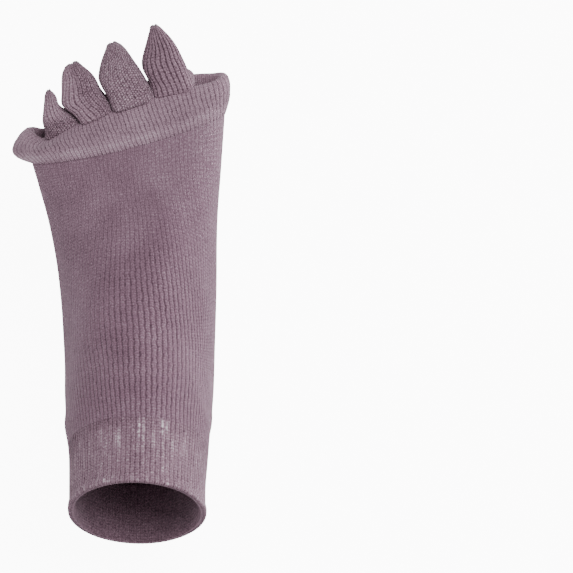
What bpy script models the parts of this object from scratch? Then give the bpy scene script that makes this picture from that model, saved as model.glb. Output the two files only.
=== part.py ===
"""A toe-separating sock for a left foot, in the form that it has on a pointed foot.

Metres, +Z up. The origin is the centre of the leg opening. The leg runs along +Y
into the sock, the toes point to +Y and upwards, and the big toe is on the +X side.
A ribbed cuff, a plain foot tube and a padded toe band follow one knitted form, and
four padded dividers stand on the band's front edge, one between each two toes.
"""

import math

import bmesh
import bpy
from mathutils import Vector

MM = 0.001

# Leg and ankle
LEG_LENGTH = 70.5 * MM  # leg opening to the ankle joint
ANKLE_WIDTH = 66 * MM
ANKLE_DEPTH = 76 * MM

# Foot, measured along and square to the sole
FOOT_LENGTH = 200 * MM  # back of the heel to the toe line
ANKLE_HEIGHT = 72 * MM  # sole to the ankle joint
HEEL_SETBACK = 62 * MM  # back of the heel to the ankle joint
BALL_WIDTH = 97 * MM
TOE_LINE_THICKNESS = 31 * MM
FOOT_PITCH = math.radians(40)  # the pointed foot's sole climbs this much from the leg's line
TOE_LINE_SLOPE = 0.30  # the toe line runs this much further on the big toe's side
TOE_LINE_BOW = 2.5  # per metre, how the toe line bows forward in its middle

# Knit
TUBE_WALL = 2.2 * MM
CUFF_LENGTH = 34 * MM
CUFF_WALL = 2.6 * MM
HEM_WIDTH = 5 * MM
HEM_RISE = 0.8 * MM  # the turned hem stands this much proud of the cuff
BAND_WIDTH = 22.5 * MM
BAND_WALL = 4 * MM
BAND_PUFF = 2.2 * MM  # the padded band stands this much proud of the foot tube
BAND_SIDE_PUFF = 6.5 * MM  # and this much more beside the little toe
SEAM_GAP = 0.3 * MM

# Toe dividers
DIVIDER_LENGTH = 31 * MM
DIVIDER_PINCH = 0.58  # share of its width that the toes press away at mid height
DIVIDER_PINCH_HEIGHT = 0.42  # share of its height that they press on
DIVIDER_FULLNESS = 2.6  # its outline's exponent, 2 for an ellipse
DIVIDER_BOW = 0.12  # how full its edges are between a split and the tip
DIVIDER_TIP_HEIGHT = 13 * MM

POINTS_AROUND = 48
DIVIDER_POINTS_AROUND = 24

# Leg sections, from the opening down the leg.
# along: share of LEG_LENGTH. front, back: shares of ANKLE_DEPTH.
# outer, inner: the little toe's and the big toe's side, as shares of ANKLE_WIDTH.
LEG_SECTIONS = (
    # along, front, back, outer, inner
    (0.00, 0.500, 0.500, 0.498, 0.498),
    (0.24, 0.495, 0.495, 0.503, 0.503),
    (0.48, 0.497, 0.505, 0.520, 0.518),
)

# Foot sections, from the ankle to the toe line.
# top_along, sole_along: shares of FOOT_LENGTH. top_height, sole_height: shares of ANKLE_HEIGHT.
# outer, inner: shares of BALL_WIDTH. turn, bow: shares of the toe line's slope and bow.
# roll: how far the big toe's side is raised, as a share of TOE_LINE_THICKNESS.
# fullness: the section's exponent, 2 for an ellipse and more for a squarer shape.
FOOT_SECTIONS = (
    # top_along, top_height, sole_along, sole_height, outer, inner, turn, bow, roll, fullness
    (0.346, 1.596, 0.068, 0.760, 0.377, 0.358, 0.00, 0.00, 0.00, 2.0),
    (0.395, 1.458, 0.034, 0.590, 0.384, 0.362, 0.00, 0.00, 0.00, 2.0),
    (0.450, 1.292, 0.018, 0.375, 0.392, 0.363, 0.00, 0.00, 0.00, 2.1),
    (0.505, 1.146, 0.048, 0.165, 0.402, 0.365, 0.00, 0.00, 0.00, 2.2),
    (0.560, 1.014, 0.140, 0.042, 0.414, 0.370, 0.00, 0.00, 0.02, 2.2),
    (0.620, 0.897, 0.270, 0.022, 0.426, 0.376, 0.00, 0.00, 0.04, 2.2),
    (0.690, 0.778, 0.430, 0.080, 0.450, 0.384, 0.08, 0.00, 0.06, 2.2),
    (0.758, 0.667, 0.600, 0.080, 0.488, 0.388, 0.28, -0.05, 0.08, 2.2),
    (0.822, 0.574, 0.755, 0.025, 0.545, 0.406, 0.58, -0.20, 0.10, 2.2),
    (0.872, 0.500, 0.876, -0.015, 0.582, 0.424, 0.92, -0.40, 0.10, 2.3),
)
TOE_LINE_SECTION = (0.978, 0.400, 1.003, -0.030, 0.600, 0.428, 1.00, 1.00, 0.10, 2.3)

# The creases between dividers, from the big toe's side to the little toe's.
# base: where it leaves the toe line. split: where it opens round a toe. Shares of BALL_WIDTH.
# ahead: from the toe line to the split, as a share of DIVIDER_LENGTH.
CREASES = (
    # base, split, ahead
    (0.270, 0.205, 0.52),
    (0.064, -0.012, 0.51),
    (-0.148, -0.237, 0.56),
    (-0.310, -0.432, 0.42),
    (-0.507, -0.522, 0.42),
)

# The dividers, from the big toe's side.
# length: share of DIVIDER_LENGTH. tip_outer, tip_inner: shares of BALL_WIDTH.
# rise: how far its back stands over the band, as a share of TOE_LINE_THICKNESS.
DIVIDERS = (
    # number, length, tip_outer, tip_inner, rise
    (1, 1.00, 0.047, 0.081, 0.06),
    (2, 0.96, -0.177, -0.130, 0.11),
    (3, 0.91, -0.388, -0.324, 0.08),
    (4, 0.67, -0.502, -0.481, 0.06),
)

# The toe band's padding, round its section.
# along: share of BAND_WIDTH from the crease to the front edge.
# out: share of the puff, over the foot tube's face. deep: share of BAND_WALL, under it.
BAND_PADDING = (
    # along, out, deep
    (0.000, 0.00, 0.10),
    (0.050, 0.28, 0.00),
    (0.160, 0.58, 0.00),
    (0.340, 0.86, 0.00),
    (0.580, 1.00, 0.00),
    (0.800, 0.90, 0.00),
    (0.940, 0.55, 0.00),
    (1.000, 0.00, 0.20),
    (1.000, 0.00, 0.65),
    (0.965, 0.00, 0.93),
    (0.860, 0.00, 1.00),
    (0.500, 0.00, 1.00),
    (0.000, 0.00, 1.00),
)

# Where a divider's rings stand, and how far its tip has closed there.
DIVIDER_STATIONS = (
    # share of the length, roundness
    (0.00, 1.00),
    (0.12, 1.00),
    (0.24, 1.00),
    (0.36, 1.00),
    (0.48, 1.00),
    (0.60, 1.00),
    (0.72, 1.00),
    (0.84, 1.00),
    (0.93, 0.96),
    (0.98, 0.82),
    (1.00, 0.50),
)

# The cuff's outer face, along from the leg opening.
# along: share of HEM_WIDTH. rise: share of HEM_RISE.
HEM_PROFILE = (
    # along, rise
    (0.00, 0.20),
    (0.12, 0.75),
    (0.45, 1.00),
    (0.80, 0.80),
    (1.00, 0.00),
)

KNIT_COLOUR = (0.245, 0.165, 0.205, 1.0)
CUFF_COLOUR = (0.300, 0.215, 0.258, 1.0)
BAND_COLOUR = (0.265, 0.185, 0.225, 1.0)


def clear_scene():
    """Remove what the startup file holds."""
    for obj in list(bpy.data.objects):
        bpy.data.objects.remove(obj)


def foot_point(along, height):
    """(y, z) of a point of the foot, along the sole from the heel and over it."""
    heel_y = LEG_LENGTH - HEEL_SETBACK * math.cos(FOOT_PITCH) + ANKLE_HEIGHT * math.sin(FOOT_PITCH)
    heel_z = -HEEL_SETBACK * math.sin(FOOT_PITCH) - ANKLE_HEIGHT * math.cos(FOOT_PITCH)
    y = heel_y + along * math.cos(FOOT_PITCH) - height * math.sin(FOOT_PITCH)
    z = heel_z + along * math.sin(FOOT_PITCH) + height * math.cos(FOOT_PITCH)
    return y, z


def foot_place(point):
    """(along, height) of a point of the foot, the other way round."""
    heel_y, heel_z = foot_point(0.0, 0.0)
    y, z = point.y - heel_y, point.z - heel_z
    along = y * math.cos(FOOT_PITCH) + z * math.sin(FOOT_PITCH)
    height = z * math.cos(FOOT_PITCH) - y * math.sin(FOOT_PITCH)
    return along, height


def section_rows():
    """Each section as real sizes: top y, z, sole y, z, outer x, inner x, turn, bow, roll, fullness."""
    rows = []
    for along, front, back, outer, inner in LEG_SECTIONS:
        top = (along * LEG_LENGTH, front * ANKLE_DEPTH)
        sole = (along * LEG_LENGTH, -back * ANKLE_DEPTH)
        sides = (-outer * ANKLE_WIDTH, inner * ANKLE_WIDTH)
        rows.append((*top, *sole, *sides, 0.0, 0.0, 0.0, 2.0))
    for section in (*FOOT_SECTIONS, TOE_LINE_SECTION):
        top_along, top_height, sole_along, sole_height, outer, inner, *bearing = section
        top = foot_point(top_along * FOOT_LENGTH, top_height * ANKLE_HEIGHT)
        sole = foot_point(sole_along * FOOT_LENGTH, sole_height * ANKLE_HEIGHT)
        sides = (-outer * BALL_WIDTH, inner * BALL_WIDTH)
        rows.append((*top, *sole, *sides, *bearing))
    return rows


def knots_of(rows):
    """Distance down the front of the sock, from the leg opening to each section."""
    knots = [0.0]
    for here, there in zip(rows, rows[1:]):
        knots.append(knots[-1] + math.hypot(there[0] - here[0], there[1] - here[1]))
    return knots


SECTION_ROWS = section_rows()
SECTION_KNOTS = knots_of(SECTION_ROWS)
SOCK_LENGTH = SECTION_KNOTS[-1]


def section_at(distance):
    """The section at a distance down the front, on a smooth curve through the table's rows."""
    last = len(SECTION_KNOTS) - 2
    span = next((i for i in range(last) if distance < SECTION_KNOTS[i + 1]), last)
    start, end = SECTION_KNOTS[span], SECTION_KNOTS[span + 1]
    share = (distance - start) / (end - start)

    def slope(index, column):
        before, after = max(index - 1, 0), min(index + 1, last + 1)
        rise = SECTION_ROWS[after][column] - SECTION_ROWS[before][column]
        return rise / (SECTION_KNOTS[after] - SECTION_KNOTS[before]) * (end - start)

    section = []
    for column in range(len(SECTION_ROWS[0])):
        a, b = SECTION_ROWS[span][column], SECTION_ROWS[span + 1][column]
        a_slope, b_slope = slope(span, column), slope(span + 1, column)
        section.append(
            a * (2 * share**3 - 3 * share**2 + 1)
            + a_slope * (share**3 - 2 * share**2 + share)
            + b * (3 * share**2 - 2 * share**3)
            + b_slope * (share**3 - share**2)
        )
    return section


def advance(x, turn=1.0, bow=1.0):
    """How far the toe line, or a share of it, runs forward at a place across the foot."""
    return turn * TOE_LINE_SLOPE * x - bow * TOE_LINE_BOW * x * x


def toe_line_along(x, height):
    """Distance along the sole of the toe line, at a place across the foot and a height."""
    top_along, top_height, sole_along, sole_height, outer, inner, _, _, roll, _ = TOE_LINE_SECTION
    across = (x / BALL_WIDTH - (inner - outer) / 2) / ((inner + outer) / 2)
    unrolled = (height - roll * TOE_LINE_THICKNESS * across) / ANKLE_HEIGHT
    share = (unrolled - sole_height) / (top_height - sole_height)
    return FOOT_LENGTH * (sole_along + (top_along - sole_along) * share) + advance(x)


def rounded(value, fullness):
    """A cosine or sine, pushed out towards a squarer section."""
    return math.copysign(abs(value) ** (2 / fullness), value)


def form_point(distance, angle):
    """A point of the sock's outer face. Angle 0 is the big toe's side, a quarter turn the top."""
    top_y, top_z, sole_y, sole_z, outer, inner, turn, bow, roll, fullness = section_at(distance)
    across = rounded(math.cos(angle), fullness)
    upward = rounded(math.sin(angle), fullness)
    x = (inner + outer) / 2 + (inner - outer) / 2 * across
    y = (top_y + sole_y) / 2 + (top_y - sole_y) / 2 * upward
    z = (top_z + sole_z) / 2 + (top_z - sole_z) / 2 * upward
    forward = advance(x, turn, bow)
    raised = roll * TOE_LINE_THICKNESS * across
    y += forward * math.cos(FOOT_PITCH) - raised * math.sin(FOOT_PITCH)
    z += forward * math.sin(FOOT_PITCH) + raised * math.cos(FOOT_PITCH)
    return Vector((x, y, z))


def form_normal(distance, angle):
    """The outward direction of the sock's outer face."""
    step = 0.5 * MM
    turn = 0.01
    along = form_point(distance + step, angle) - form_point(distance - step, angle)
    around = form_point(distance, angle + turn) - form_point(distance, angle - turn)
    return around.cross(along).normalized()


def angles_around(count):
    return [2 * math.pi * i / count for i in range(count)]


def loft(name, rings, closed_loop=False, capped=False):
    """A mesh through rings of as many points each, from the first to the last or back to the first."""
    bm = bmesh.new()
    rows = [[bm.verts.new(point) for point in ring] for ring in rings]
    pairs = list(zip(rows, rows[1:]))
    if closed_loop:
        pairs.append((rows[-1], rows[0]))
    for here, there in pairs:
        for i in range(len(here)):
            j = (i + 1) % len(here)
            bm.faces.new((here[i], here[j], there[j], there[i]))
    if capped:
        bm.faces.new(reversed(rows[0]))
        bm.faces.new(rows[-1])
    bmesh.ops.recalc_face_normals(bm, faces=bm.faces)
    mesh = bpy.data.meshes.new(name)
    bm.to_mesh(mesh)
    bm.free()
    mesh.shade_smooth()
    return bpy.data.objects.new(name, mesh)


def knit_material(name, colour):
    """Matt knitted yarn."""
    material = bpy.data.materials.new(name)
    material.use_nodes = True
    surface = material.node_tree.nodes["Principled BSDF"]
    surface.inputs["Base Color"].default_value = colour
    surface.inputs["Roughness"].default_value = 0.95
    surface.inputs["Metallic"].default_value = 0.0
    return material


def add_wall(obj, thickness):
    """Give an open outer face its wall, inwards."""
    wall = obj.modifiers.new("wall", "SOLIDIFY")
    wall.thickness = thickness
    wall.offset = -1
    wall.use_even_offset = True


def evenly(start, end, count):
    return [start + (end - start) * i / count for i in range(count + 1)]


def cuff():
    """The ribbed cuff, with its turned hem at the leg opening."""
    hem = [(along * HEM_WIDTH, rise * HEM_RISE) for along, rise in HEM_PROFILE]
    plain = [(distance, 0.0) for distance in evenly(HEM_WIDTH, CUFF_LENGTH, 5)[1:]]
    rings = []
    for distance, rise in hem + plain:
        rings.append([
            form_point(distance, angle) + rise * form_normal(distance, angle)
            for angle in angles_around(POINTS_AROUND)
        ])
    obj = loft("cuff", rings)
    add_wall(obj, CUFF_WALL)
    return obj


def foot_tube():
    """The plain knit from the cuff over ankle, heel, instep and sole to the band's crease."""
    stations = evenly(CUFF_LENGTH + SEAM_GAP, SOCK_LENGTH - BAND_WIDTH - SEAM_GAP, 22)
    rings = []
    for distance in stations:
        rings.append([form_point(distance, angle) for angle in angles_around(POINTS_AROUND)])
    obj = loft("foot_tube", rings)
    add_wall(obj, TUBE_WALL)
    return obj


def band_puff(angle):
    """How far the padded band stands out, fullest beside the little toe."""
    beside_little_toe = max(0.0, -math.cos(angle)) ** 3
    return BAND_PUFF + BAND_SIDE_PUFF * beside_little_toe


def keep_to_toe_line(point, distance, share):
    """Move a point of the band's padding so that the band's front edge stays on the toe line."""
    along, height = foot_place(point)
    wanted = toe_line_along(point.x, height) + distance - SOCK_LENGTH
    moved = (wanted - along) * share**4
    y, z = foot_point(along + moved, height)
    return Vector((point.x, y, z))


def toe_band():
    """The padded band round the toe joints, one closed ring."""
    crease = SOCK_LENGTH - BAND_WIDTH
    rings = []
    for along, out, deep in BAND_PADDING:
        distance = crease + along * BAND_WIDTH
        ring = []
        for angle in angles_around(POINTS_AROUND):
            offset = out * band_puff(angle) - deep * BAND_WALL
            point = form_point(distance, angle) + offset * form_normal(distance, angle)
            ring.append(keep_to_toe_line(point, distance, along))
        rings.append(ring)
    return loft("toe_band", rings, closed_loop=True)


def divider_edge(crease, tip, ahead, length):
    """Where a divider's edge is across the foot: along its crease, then bowed in to its tip."""
    base, split, split_ahead = crease
    split_ahead *= DIVIDER_LENGTH
    if ahead < split_ahead:
        return BALL_WIDTH * (base + (split - base) * ahead / split_ahead)
    share = (ahead - split_ahead) / (length - split_ahead)
    bowed = share - DIVIDER_BOW * 4 * share * (1 - share)
    return BALL_WIDTH * (split + (tip - split) * bowed)


def divider_ring(centre, width, middle, half_height):
    """Outline across a divider: padded above and below, pressed in between the toes."""
    outline = []
    for angle in angles_around(DIVIDER_POINTS_AROUND):
        upward = rounded(math.sin(angle), DIVIDER_FULLNESS)
        pressed = DIVIDER_PINCH * math.exp(-((upward / DIVIDER_PINCH_HEIGHT) ** 2))
        across = rounded(math.cos(angle), DIVIDER_FULLNESS) * (1 - pressed)
        outline.append((centre + across * width / 2, middle + half_height * upward))
    return outline


def toe_divider(number, length, tip_outer, tip_inner, rise):
    """A padded divider, from the toe line forward to its rounded tip."""
    length *= DIVIDER_LENGTH
    base_high = TOE_LINE_SECTION[1] * ANKLE_HEIGHT + rise * TOE_LINE_THICKNESS
    base_low = TOE_LINE_SECTION[3] * ANKLE_HEIGHT
    middle = (base_high + base_low) / 2
    tip_squeeze = DIVIDER_TIP_HEIGHT / (base_high - base_low)
    rings = []
    for share, roundness in DIVIDER_STATIONS:
        ahead = share * length
        inner = divider_edge(CREASES[number - 1], tip_inner, ahead, length) - SEAM_GAP / 2
        outer = divider_edge(CREASES[number], tip_outer, ahead, length) + SEAM_GAP / 2
        squeeze = 1 - (1 - tip_squeeze) * share**2.2
        half_height = (base_high - base_low) / 2 * squeeze * roundness
        width = (inner - outer) * roundness
        ring = []
        for x, height in divider_ring((inner + outer) / 2, width, middle, half_height):
            along = toe_line_along(x, height) + SEAM_GAP + ahead
            ring.append(Vector((x, *foot_point(along, height))))
        rings.append(ring)
    return loft(f"toe_divider_{number}", rings, capped=True)


def main():
    clear_scene()
    sock = bpy.data.collections.new("toe_sock")
    bpy.context.scene.collection.children.link(sock)
    cuff_knit = knit_material("cuff_knit", CUFF_COLOUR)
    tube_knit = knit_material("tube_knit", KNIT_COLOUR)
    band_knit = knit_material("band_knit", BAND_COLOUR)
    divider_knit = knit_material("divider_knit", BAND_COLOUR)
    pieces = [(cuff(), cuff_knit), (foot_tube(), tube_knit), (toe_band(), band_knit)]
    for divider in DIVIDERS:
        pieces.append((toe_divider(*divider), divider_knit))
    for obj, material in pieces:
        obj.data.materials.append(material)
        sock.objects.link(obj)


main()
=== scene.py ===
# %% [markdown]
# # A toe-separating sock in dusty mauve knit
#
# The sock is a ribbed cuff, a long plain tube over ankle and foot, a padded band round the
# toe joints, and four padded dividers that spread the toes. Everything on it is knitting, so
# the whole lesson uses one idea: make a flat sheet of knitting, roll it into its form, and
# let the rows and columns of the sheet be the rows and columns of the stitches.

import math

import bmesh
import bpy
import numpy as np
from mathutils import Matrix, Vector


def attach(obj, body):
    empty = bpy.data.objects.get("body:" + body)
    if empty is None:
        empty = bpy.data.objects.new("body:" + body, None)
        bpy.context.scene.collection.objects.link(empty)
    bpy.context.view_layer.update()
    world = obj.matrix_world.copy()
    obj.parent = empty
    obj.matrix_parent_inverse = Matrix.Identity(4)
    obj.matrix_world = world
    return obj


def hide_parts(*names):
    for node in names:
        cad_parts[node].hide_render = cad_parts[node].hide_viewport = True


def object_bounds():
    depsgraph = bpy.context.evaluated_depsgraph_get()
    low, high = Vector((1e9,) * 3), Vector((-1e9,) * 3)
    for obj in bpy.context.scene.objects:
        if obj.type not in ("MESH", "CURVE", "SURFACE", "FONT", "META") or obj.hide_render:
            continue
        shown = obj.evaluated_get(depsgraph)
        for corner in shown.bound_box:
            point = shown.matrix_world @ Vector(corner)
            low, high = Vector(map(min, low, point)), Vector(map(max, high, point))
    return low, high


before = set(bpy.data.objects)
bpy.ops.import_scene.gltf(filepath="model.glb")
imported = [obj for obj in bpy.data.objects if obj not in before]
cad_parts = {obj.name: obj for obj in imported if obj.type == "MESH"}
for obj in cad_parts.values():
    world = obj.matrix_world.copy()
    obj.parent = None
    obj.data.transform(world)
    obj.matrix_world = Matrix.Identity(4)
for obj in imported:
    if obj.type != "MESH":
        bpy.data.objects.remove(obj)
solid_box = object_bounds()
print("CAD box", [[round(c, 4) for c in corner] for corner in solid_box])

# %% [markdown]
# ## The camera
#
# The picture looks down on the sock from in front of its opening, at 62 degrees above the
# floor, through a long lens. The camera keeps the sock where it stands in the picture, in the left
# half, so no lens shift is needed: the line of sight simply passes beside the sock.

# %% The camera
MM = 0.001
SIGHT_RISE = math.radians(62)
SIGHT_DISTANCE = 1430 * MM
PICTURE_WIDTH = 286.5 * MM
FILM_WIDTH = 36
AIM_RIGHT, AIM_UP, AIM_NEAR = 72.1, 109.4, -52

towards_camera = Vector((0, -math.cos(SIGHT_RISE), math.sin(SIGHT_RISE)))
picture_up = Vector((0, math.sin(SIGHT_RISE), math.cos(SIGHT_RISE)))
picture_right = Vector((1, 0, 0))


def in_picture(right, up, near):
    """A step given across the picture, up it and out of it."""
    return picture_right * right + picture_up * up + towards_camera * near


lens = bpy.data.cameras.new("sight")
lens.sensor_width = FILM_WIDTH
lens.lens = FILM_WIDTH * SIGHT_DISTANCE / PICTURE_WIDTH
lens.clip_start, lens.clip_end = 0.05, 20
camera = bpy.data.objects.new("sight", lens)
aim = picture_right * AIM_RIGHT * MM + picture_up * AIM_UP * MM + towards_camera * AIM_NEAR * MM
camera.location = aim + towards_camera * SIGHT_DISTANCE
camera.rotation_mode = "QUATERNION"
camera.rotation_quaternion = towards_camera.to_track_quat("Z", "Y")
bpy.context.scene.collection.objects.link(camera)
bpy.context.scene.camera = camera
print("lens", round(lens.lens, 1), "mm")

# %% [markdown]
# ## The form under the knitting
#
# A worn sock has no shape of its own: it takes the form of what fills it. That form hangs on
# a few sizes, the same ones that the CAD part uses, so the knitting lies exactly on the
# solids that it stands for.

# %% Sizes
LEG_LENGTH = 70.5 * MM
ANKLE_WIDTH = 66 * MM
ANKLE_DEPTH = 76 * MM
FOOT_LENGTH = 200 * MM
ANKLE_HEIGHT = 72 * MM
HEEL_SETBACK = 62 * MM
BALL_WIDTH = 97 * MM
TOE_LINE_THICKNESS = 31 * MM
FOOT_PITCH = math.radians(40)
TOE_LINE_SLOPE = 0.30
TOE_LINE_BOW = 2.5
CUFF_LENGTH = 34 * MM
BAND_WIDTH = 22.5 * MM
DIVIDER_LENGTH = 31 * MM
print("ball of the foot", round(BALL_WIDTH / MM), "mm, ankle", round(ANKLE_WIDTH / MM), "mm wide")

# %% [markdown]
# The form is a row of cross-sections, each a rounded oval from the front or top of the foot
# to its back or sole. They are shares of the sizes above: a table is easier to judge against
# a picture, row by row, than a net of points is.

# %% Sections
LEG_SECTIONS = (
    # along, front, back, outer, inner
    (0.00, 0.500, 0.500, 0.498, 0.498),
    (0.24, 0.495, 0.495, 0.503, 0.503),
    (0.48, 0.497, 0.505, 0.520, 0.518),
)
FOOT_SECTIONS = (
    # top_along, top_height, sole_along, sole_height, outer, inner, turn, bow, roll, fullness
    (0.346, 1.596, 0.068, 0.760, 0.377, 0.358, 0.00, 0.00, 0.00, 2.0),
    (0.395, 1.458, 0.034, 0.590, 0.384, 0.362, 0.00, 0.00, 0.00, 2.0),
    (0.450, 1.292, 0.018, 0.375, 0.392, 0.363, 0.00, 0.00, 0.00, 2.1),
    (0.505, 1.146, 0.048, 0.165, 0.402, 0.365, 0.00, 0.00, 0.00, 2.2),
    (0.560, 1.014, 0.140, 0.042, 0.414, 0.370, 0.00, 0.00, 0.02, 2.2),
    (0.620, 0.897, 0.270, 0.022, 0.426, 0.376, 0.00, 0.00, 0.04, 2.2),
    (0.690, 0.778, 0.430, 0.080, 0.450, 0.384, 0.08, 0.00, 0.06, 2.2),
    (0.758, 0.667, 0.600, 0.080, 0.488, 0.388, 0.28, -0.05, 0.08, 2.2),
    (0.822, 0.574, 0.755, 0.025, 0.545, 0.406, 0.58, -0.20, 0.10, 2.2),
    (0.872, 0.500, 0.876, -0.015, 0.582, 0.424, 0.92, -0.40, 0.10, 2.3),
    (0.978, 0.400, 1.003, -0.030, 0.600, 0.428, 1.00, 1.00, 0.10, 2.3),
)
print(len(LEG_SECTIONS), "sections down the leg and", len(FOOT_SECTIONS), "along the foot")

# %% [markdown]
# The foot is pitched, so its shares are first turned into places in the room. The distance
# from one section's top to the next, added up, is the one measure that every piece of the
# sock uses: the cuff is the first 34 mm of it, and the toe band is the last 22.5 mm.

# %% From shares to places
COS_PITCH, SIN_PITCH = math.cos(FOOT_PITCH), math.sin(FOOT_PITCH)
HEEL_Y = LEG_LENGTH - HEEL_SETBACK * COS_PITCH + ANKLE_HEIGHT * SIN_PITCH
HEEL_Z = -HEEL_SETBACK * SIN_PITCH - ANKLE_HEIGHT * COS_PITCH
ROUND_OVAL = 2


def foot_point(along, height):
    """y and z of a point along the sole from the heel and over it."""
    y = HEEL_Y + along * COS_PITCH - height * SIN_PITCH
    z = HEEL_Z + along * SIN_PITCH + height * COS_PITCH
    return y, z


def section_rows():
    """Each section in metres: top y, z, sole y, z, outer and inner x, turn, bow, roll, fullness."""
    rows = []
    for along, front, back, outer, inner in LEG_SECTIONS:
        y = along * LEG_LENGTH
        sides = (-outer * ANKLE_WIDTH, inner * ANKLE_WIDTH)
        rows.append((y, front * ANKLE_DEPTH, y, -back * ANKLE_DEPTH, *sides, 0, 0, 0, ROUND_OVAL))
    for top_along, top_height, sole_along, sole_height, outer, inner, *rest in FOOT_SECTIONS:
        top = foot_point(top_along * FOOT_LENGTH, top_height * ANKLE_HEIGHT)
        sole = foot_point(sole_along * FOOT_LENGTH, sole_height * ANKLE_HEIGHT)
        rows.append((*top, *sole, -outer * BALL_WIDTH, inner * BALL_WIDTH, *rest))
    return np.array(rows, float)


def running_total(steps):
    """How far along each point is, when these are the steps between them."""
    return np.concatenate([[0], np.cumsum(steps)])


ROWS = section_rows()
KNOTS = running_total(np.hypot(*np.diff(ROWS[:, :2], axis=0).T))
SOCK_LENGTH = KNOTS[-1]
BAND_START = SOCK_LENGTH - BAND_WIDTH
print("length down the front", round(SOCK_LENGTH, 4), "m")

# %% [markdown]
# A smooth curve runs through the rows of the table. Raking light shows each knot of such a
# curve as a faint ring, so over the ankle and the instep it is averaged with its neighbours
# on both sides. The cuff and the toe band stay as they are, because they have true corners.

# %% A smooth curve through the sections
EVENING_REACH = 7.5 * MM


def eased(value, start, end):
    """0 before start, 1 after end, and a soft climb between."""
    t = np.clip((value - start) / (end - start), 0, 1)
    return t * t * (3 - 2 * t)


def sections_at(distances):
    """The table's columns at distances down the front, on a smooth curve."""
    distances = np.asarray(distances, float)
    span = np.clip(np.searchsorted(KNOTS, distances, side="right") - 1, 0, len(KNOTS) - 2)
    length = (KNOTS[span + 1] - KNOTS[span])[:, None]
    t = (distances[:, None] - KNOTS[span][:, None]) / length
    knot = np.arange(len(KNOTS))
    before, after = np.maximum(knot - 1, 0), np.minimum(knot + 1, len(KNOTS) - 1)
    slopes = (ROWS[after] - ROWS[before]) / (KNOTS[after] - KNOTS[before])[:, None]
    a, a_slope = ROWS[span], slopes[span] * length
    b, b_slope = ROWS[span + 1], slopes[span + 1] * length
    return (
        a * (2 * t**3 - 3 * t**2 + 1) + a_slope * (t**3 - 2 * t**2 + t)
        + b * (3 * t**2 - 2 * t**3) + b_slope * (t**3 - t**2)
    )


def smooth_sections_at(distances):
    """The same columns, evened out over the ankle and the instep."""
    distances = np.asarray(distances, float)
    past_cuff = eased(distances, 15 * MM, 45 * MM)
    before_band = 1 - eased(distances, BAND_START - 40 * MM, BAND_START - 5 * MM)
    reach = EVENING_REACH * past_cuff * before_band
    return (sections_at(distances - reach) + 2 * sections_at(distances) + sections_at(distances + reach)) / 4


cuff_front = smooth_sections_at([CUFF_LENGTH])[0, :2]
print("front of the cuff's end at y, z", np.round(cuff_front, 4))

# %% [markdown]
# Each section's outline is walked at an even pace, so that the stitches of one course are all
# as wide. The walk starts under the sole, climbs the little toe's side, crosses the top and
# comes down the big toe's side.

# %% The form at any place
OUTLINE_POINTS = 480
WALK = -math.pi / 2 - np.linspace(0, 2 * math.pi, OUTLINE_POINTS + 1)


def squared(value, fullness):
    """A cosine or sine pushed out towards a squarer outline."""
    return np.sign(value) * np.abs(value) ** (2 / fullness)


def advance(x, turn=1.0, bow=1.0):
    """How far the toe line runs forward at a place across the foot."""
    return turn * TOE_LINE_SLOPE * x - bow * TOE_LINE_BOW * x * x


def walk_evenly(outlines, columns):
    """Resample closed outlines, so that each half has half of the columns, evenly spaced."""
    half = outlines.shape[1] // 2
    walked = np.empty((len(outlines), columns + 1, 3))
    for i, outline in enumerate(outlines):
        for side in (0, 1):
            piece = outline[side * half:(side + 1) * half + 1]
            steps = running_total(np.linalg.norm(np.diff(piece, axis=0), axis=1))
            wanted = np.linspace(0, steps[-1], columns // 2 + 1)
            for axis in range(3):
                row = np.interp(wanted, steps, piece[:, axis])
                walked[i, side * columns // 2:(side + 1) * columns // 2 + 1, axis] = row
    return walked


def form(distances, columns):
    """Points of the form, a row for each distance."""
    rows = smooth_sections_at(distances).T[:, :, None]
    top_y, top_z, sole_y, sole_z, outer, inner, turn, bow, roll, fullness = rows
    across = squared(np.cos(WALK)[None], fullness)
    upward = squared(np.sin(WALK)[None], fullness)
    x = (inner + outer) / 2 + (inner - outer) / 2 * across
    forward = advance(x, turn, bow)
    raised = roll * TOE_LINE_THICKNESS * across
    y = (top_y + sole_y) / 2 + (top_y - sole_y) / 2 * upward + forward * COS_PITCH - raised * SIN_PITCH
    z = (top_z + sole_z) / 2 + (top_z - sole_z) / 2 * upward + forward * SIN_PITCH + raised * COS_PITCH
    return walk_evenly(np.stack([x, y, z], axis=2), columns)


opening = form([0.0], 48)[0]
print("girth of the opening", round(np.linalg.norm(np.diff(opening, axis=0), axis=1).sum(), 4), "m")

# %% [markdown]
# ## Uneven hands
#
# No two stitches are quite alike, and a worn sock pulls its rows this way and that. A few
# slow waves with fixed, scattered phases give each piece its own unevenness. They are added
# sine waves and not a random number at each point, so that neighbouring stitches agree.

# %% Slow waves
WAVE_TURNS = (3, 5, 8)
WAVE_RUNS = (2.0, 3.5, 6.0)
WAVE_PEAK = 1.8


def waves(u, v, seed, turns=WAVE_TURNS, runs=WAVE_RUNS):
    """A smooth unevenness, about -1 to 1, that closes round the sheet."""
    rng = np.random.default_rng(seed)
    total = np.zeros(np.broadcast(u, v).shape)
    for turn in turns:
        for run in runs:
            phase, lean = rng.uniform(0, 2 * math.pi), rng.choice([-1, 1])
            total += np.sin(2 * math.pi * (turn * u + lean * run * v) + phase)
    return total / math.sqrt(len(turns) * len(runs) / 2) / WAVE_PEAK


print(len(WAVE_TURNS) * len(WAVE_RUNS), "waves make one unevenness")

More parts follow.
